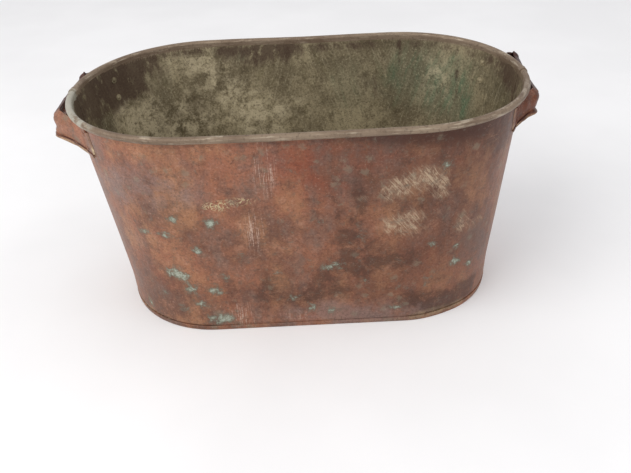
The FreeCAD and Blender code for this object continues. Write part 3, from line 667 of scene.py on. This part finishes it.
def rim_metal():
    """Handled edge: grey brown, scraped bright along its length."""
    mat = Finish("rim_metal", 0.45, 0.35)
    ring = mat.stored("ring").outputs["Vector"]
    clouds = mat.noise(14, 5, 0.65)
    specks = mat.noise(260, 5, 0.7)
    scrapes = mat.noise(420, 4, 0.6, mat.scaled(ring, 0.09, 0.09, 1))
    colour = mat.mixed(mat.step(clouds, 0.32, 0.68), rgb(112, 93, 75), rgb(141, 123, 103))
    colour = mat.mixed(mat.step(scrapes, 0.52, 0.7, 0, 0.6), colour, rgb(188, 174, 152))
    colour = mat.mixed(mat.step(specks, 0.5, 0.3, 0, 0.6), colour, rgb(80, 64, 50))
    pale = mat.patchy("pale_end", mat.noise(60, 5, 0.6), 0.7)
    colour = mat.mixed(mat.times(pale, 0.75), colour, rgb(184, 182, 168))
    rough = mat.step(scrapes, 0.4, 0.7, 0.55, 0.35)
    normal = mat.bump(scrapes, 0.0003, 0.5)
    normal = mat.bump(specks, 0.0002, 0.4, normal)
    return mat.finish(colour, rough, normal)


def solder_metal():
    """Dull solder, browned over, with cream patches where they are stored."""
    mat = Finish("solder_metal", 0.6, 0.3)
    clouds = mat.noise(90, 5, 0.65)
    specks = mat.noise(500, 4, 0.7)
    colour = mat.mixed(mat.step(clouds, 0.35, 0.65), rgb(118, 84, 66), rgb(150, 116, 92))
    cream = mat.times(mat.mark("cream"), mat.step(clouds, 0.3, 0.55))
    colour = mat.mixed(cream, colour, rgb(214, 194, 156))
    colour = mat.mixed(mat.step(specks, 0.5, 0.35, 0, 0.5), colour, rgb(92, 72, 56))
    normal = mat.bump(mat.maths("ADD", clouds, specks), 0.0004, 0.7)
    return mat.finish(colour, mat.step(specks, 0.3, 0.7, 0.5, 0.75), normal)


def rusted_wire():
    mat = Finish("rusted_wire", 0.8, 0.1)
    clouds = mat.noise(120, 6, 0.7)
    specks = mat.noise(700, 4, 0.7)
    colour = mat.mixed(mat.step(clouds, 0.35, 0.65), rgb(70, 48, 38), rgb(112, 72, 48))
    normal = mat.bump(mat.maths("ADD", clouds, specks), 0.0004, 0.8)
    return mat.finish(colour, mat.step(specks, 0.3, 0.7, 0.7, 0.95), normal)


def pale_floor():
    mat = Finish("pale_floor", 0.9, 0.0)
    soft = mat.noise(3, 3, 0.5)
    colour = mat.mixed(mat.step(soft, 0.3, 0.7), rgb(243, 243, 243), rgb(248, 248, 248))
    return mat.finish(colour, 0.9, mat.bump(mat.noise(18, 3, 0.5), 0.001, 0.15))


# ---------------------------------------------------------------- the pieces
COPPER = copper_outside("copper_outside", rgb(116, 79, 62), rgb(155, 101, 76), rgb(174, 125, 90))
STRAP_COLOURS = {           # deep, middle and warm
    "left": (rgb(136, 94, 72), rgb(166, 112, 84), rgb(180, 124, 90)),
    "right": (rgb(86, 48, 32), rgb(110, 60, 38), rgb(132, 76, 46)),
}
STRAPS = {
    side: copper_outside("copper_strap_" + side, *colours)
    for side, colours in STRAP_COLOURS.items()
}
TINNED = tinned_inside()
RIM = rim_metal()
SOLDER = solder_metal()
WIRE = rusted_wire()

OUTSIDE_MARKS = (
    ("verdigris", VERDIGRIS), ("scuff", SCUFFS), ("drip", DRIPS), ("wisp", WISPS),
    ("soot_and_shade", SOOT_AND_SHADE), ("bloom", BLOOM), ("bright", BRIGHT), ("edge_worn", EDGE_WORN),
    ("shade_and_tarnish", SHADE_AND_TARNISH),
)
INSIDE_MARKS = (
    ("limescale", LIMESCALE), ("green_runs", GREEN_RUNS),
    ("inside_brown", INSIDE_BROWN), ("inside_dark", INSIDE_DARK),
)
HEM_STRETCHES = (0.28, 0.30, 0.31, 0.32, 0.33, 0.34, 0.36, 0.40)       # along; short in the fold
HEM_WIDTH, HEM_FADE = 0.0035, 0.001
FOLD_SHADE_WIDTH = 0.0011
STRAP_TONES = {"left": (0.5, 0.4, 0.0), "right": (0.5, 0.0, 0.8)}      # bright, bloom, soot
STRAP_HEM_WORN = {"left": 1.2, "right": 0.8}
BACK_SHADE = 1.2             # painted shade on a strap's back half, carried by the soot mark, which sets in over these y
BACK_SHADE_Y = (-0.02, 0.03)
DARK_TOP_Y = (-0.049, -0.041)                       # where a grip's dark top edge, painted shade with dark patina, sets in
DARK_TOP_Z = (0.292, 0.298)
CREAM_Z = (0.266, 0.276)    # the cream fades out over these heights
CREAM_ELSEWHERE = 0.15      # its share on all but the left front foot
HIDDEN_SIDE = 0.85          # strength of the marks guessed for the side not in the photo
LOOKS_UP = 0.5              # a face whose normal's upward part is over this looks up

# Longest edges in the finished meshes.
WALL_EDGES, BASE_EDGES, STRAP_EDGES = 0.007, 0.008, 0.0025
SOLDER_EDGES, RIVET_EDGES, WIRE_EDGES = 0.008, 0.004, 0.014


def face_values(data, field):
    values = np.zeros(3 * len(data.polygons))
    data.polygons.foreach_get(field, values)
    return values.reshape(-1, 3)


def wall_materials(piece):
    """Rim metal at the top; below it copper or tinning, by which way each face looks."""
    data = piece.data
    outside, inside, rim = 0, 1, 2
    for material in (COPPER, TINNED, RIM):
        data.materials.append(material)
    centres = face_values(data, "center")
    direction, _ = outward(centres)
    facing = (face_values(data, "normal")[:, :2] * direction).sum(1)
    kinds = np.where(facing < 0, inside, outside)
    kinds[centres[:, 2] > RIM_METAL_FROM] = rim
    data.polygons.foreach_set("material_index", kinds.astype(np.int32))


def store_marks(piece, points, groups, side):
    """Marks of the side the photo shows, and the same turned end for end on the other side."""
    for name, marks in groups:
        turned = [(-mark[0], *mark[1:]) for mark in marks]
        seen = spots(points, marks, side)
        store(piece.data, name, seen + HIDDEN_SIDE * spots(points, turned, -side))


def dress_wall(node):
    piece, points = worn_piece(node, WALL_EDGES)
    store_marks(piece, points, OUTSIDE_MARKS, -1)
    store_marks(piece, points, INSIDE_MARKS, 1)
    store(piece.data, "pale_end", spots(points, PALE_END, -1) * (points[:, 1] < 0))
    wall_materials(piece)


def dress_base():
    """Copper, with the floor of the tub tinned."""
    piece, points = worn_piece("base_pan", BASE_EDGES)
    store_marks(piece, points, OUTSIDE_MARKS, -1)
    piece.data.materials.append(COPPER)
    piece.data.materials.append(TINNED)
    _, distance = outward(face_values(piece.data, "center"))
    upward = face_values(piece.data, "normal")[:, 2] > LOOKS_UP
    tub_floor = upward & (distance < WALL_FOOT)
    piece.data.polygons.foreach_set("material_index", tub_floor.astype(np.int32))


def from_nearer_side(points):
    """Distance round the wall from the middle of the nearer long side, never negative."""
    return np.minimum(np.abs(along_wall(points, -1)), np.abs(along_wall(points, 1)))


def lower_edge(node):
    """Places along a strap as made, and the lowest height of the strap round each."""
    points = points_of(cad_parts[node].data)
    along = from_nearer_side(points)
    stretches = list(zip(HEM_STRETCHES, HEM_STRETCHES[1:]))
    middles = [(start + end) / 2 for start, end in stretches]
    lowest = [points[(along >= start) & (along < end), 2].min() for start, end in stretches]
    return middles, lowest


def dress_strap(node, side):
    """The left strap is paler with a greyed hem, the right one darker; both dark along the top, in
    painted shade with dark patina, with painted shade in the fold above the hem.
    """
    edge = lower_edge(node)
    piece, points = worn_piece(node, STRAP_EDGES, side)
    back_shade = smooth_step(points[:, 1], *BACK_SHADE_Y)
    top_shade_and_patina = smooth_step(points[:, 1], *DARK_TOP_Y) * smooth_step(points[:, 2], *DARK_TOP_Z)
    above_edge = points[:, 2] - np.interp(from_nearer_side(points), *edge)
    hem = 1 - smooth_step(above_edge, HEM_WIDTH - HEM_FADE, HEM_WIDTH)
    # painted shade: a dark line in the fold just above the hem
    fold_shade = np.exp(-((above_edge - HEM_WIDTH - FOLD_SHADE_WIDTH) / FOLD_SHADE_WIDTH) ** 2)
    bright, bloom, soot_and_shade = STRAP_TONES[side]
    store(piece.data, "bright", np.full(len(points), bright))
    store(piece.data, "bloom", np.full(len(points), bloom))
    store(piece.data, "edge_worn", STRAP_HEM_WORN[side] * hem)
    # the soot mark also carries painted shade over the strap's back half, whose inner face lies in
    # shade
    store(piece.data, "soot_and_shade", soot_and_shade + BACK_SHADE * back_shade)
    store(piece.data, "edge_shade_and_patina", np.maximum(top_shade_and_patina, fold_shade * (points[:, 1] < CORNER_Y)))
    piece.data.materials.append(STRAPS[side])


def dress_solder(node):
    """Solder inside looks like the tinning; that of the feet is browned over."""
    piece, points = worn_piece(node, SOLDER_EDGES)
    if node.endswith("seam_solder"):
        store_marks(piece, points, INSIDE_MARKS, 1)
        piece.data.materials.append(TINNED)
        return
    share = 1.0 if node == "left_handle_front_solder" else CREAM_ELSEWHERE
    store(piece.data, "cream", share * (1 - smooth_step(points[:, 2], *CREAM_Z)))
    piece.data.materials.append(SOLDER)


def dress_rivets(node):
    """Outer heads like the strap, peened ends and burrs like the tinning."""
    piece, _ = worn_piece(node, RIVET_EDGES)
    piece.data.materials.append(STRAPS[node.split("_")[0]])
    piece.data.materials.append(TINNED)
    centres = face_values(piece.data, "center")
    _, distance = outward(centres)
    inside = distance < WALL_FOOT + WALL_LEAN * centres[:, 2]
    piece.data.polygons.foreach_set("material_index", inside.astype(np.int32))


def dress_wire():
    piece, _ = worn_piece("rim_wire", WIRE_EDGES)
    piece.data.materials.append(WIRE)


dress_wall("front_wall_sheet")
dress_wall("back_wall_sheet")
dress_base()
dress_wire()
for node in sorted(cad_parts):
    if node.endswith("strap"):
        dress_strap(node, node.split("_")[0])
    elif node.endswith("solder"):
        dress_solder(node)
    elif node.endswith(("rivets", "burrs")):
        dress_rivets(node)


# ---------------------------------------------------------------- floor, light and camera
FLOOR_HALF = 6.0
FLOOR_DROP = 0.0002


def make_floor():
    data = bpy.data.meshes.new("floor")
    signs = ((-1, -1), (1, -1), (1, 1), (-1, 1))
    corners = [(x * FLOOR_HALF, y * FLOOR_HALF, -FLOOR_DROP) for x, y in signs]
    data.from_pydata(corners, [], [(0, 1, 2, 3)])
    data.materials.append(pale_floor())
    floor = bpy.data.objects.new("floor", data)
    bpy.context.scene.collection.objects.link(floor)


LAMP_SIZE = 2.2
LAMP_TARGET = Vector((0, 0, 0.2))
SKY_COLOUR = (0.985, 0.98, 1.0, 1)
SKY_STRENGTH = 0.74


def make_lamp(name, place, power, colour):
    lamp = bpy.data.lights.new(name, "AREA")
    lamp.shape = "DISK"
    lamp.size = LAMP_SIZE
    lamp.energy = power
    lamp.color = colour
    thing = bpy.data.objects.new(name, lamp)
    thing.location = place
    thing.rotation_euler = (LAMP_TARGET - Vector(place)).to_track_quat("-Z", "Y").to_euler()
    bpy.context.scene.collection.objects.link(thing)


def make_sky():
    world = bpy.data.worlds.new("sky")
    world.use_nodes = True
    background = world.node_tree.nodes["Background"]
    background.inputs["Color"].default_value = SKY_COLOUR
    background.inputs["Strength"].default_value = SKY_STRENGTH
    bpy.context.scene.world = world
    bpy.context.scene.view_settings.view_transform = "Standard"


# Fitted to the outlines of rim and base in the photo; angles in radians.
CAMERA_PLACE = Vector((0.0068, -0.9486, 0.6885))
CAMERA_YAW = 0.007
CAMERA_DOWN = 0.5841
CAMERA_ROLL = -0.044
FOCAL_PIXELS = 749.84
IMAGE_WIDTH = 631
SENSOR_MM = 36.0


def make_camera():
    camera = bpy.data.cameras.new("camera")
    camera.sensor_fit = "HORIZONTAL"
    camera.sensor_width = SENSOR_MM
    camera.lens = FOCAL_PIXELS * SENSOR_MM / IMAGE_WIDTH
    forward = Vector((
        math.sin(CAMERA_YAW) * math.cos(CAMERA_DOWN),
        math.cos(CAMERA_YAW) * math.cos(CAMERA_DOWN),
        -math.sin(CAMERA_DOWN),
    ))
    level = Vector((math.cos(CAMERA_YAW), -math.sin(CAMERA_YAW), 0))
    upright = level.cross(forward)
    right = level * math.cos(CAMERA_ROLL) + upright * math.sin(CAMERA_ROLL)
    up = upright * math.cos(CAMERA_ROLL) - level * math.sin(CAMERA_ROLL)
    turned = Matrix((right, up, -forward)).transposed().to_4x4()
    thing = bpy.data.objects.new("camera", camera)
    thing.matrix_world = Matrix.Translation(CAMERA_PLACE) @ turned
    bpy.context.scene.collection.objects.link(thing)
    bpy.context.scene.camera = thing


make_floor()
make_lamp("sky_left", (-1.5, -1.15, 2.1), 38, (1.0, 0.99, 0.98))
make_lamp("sky_right", (1.8, -0.6, 2.2), 11, (0.97, 0.98, 1.0))
make_sky()
make_camera()
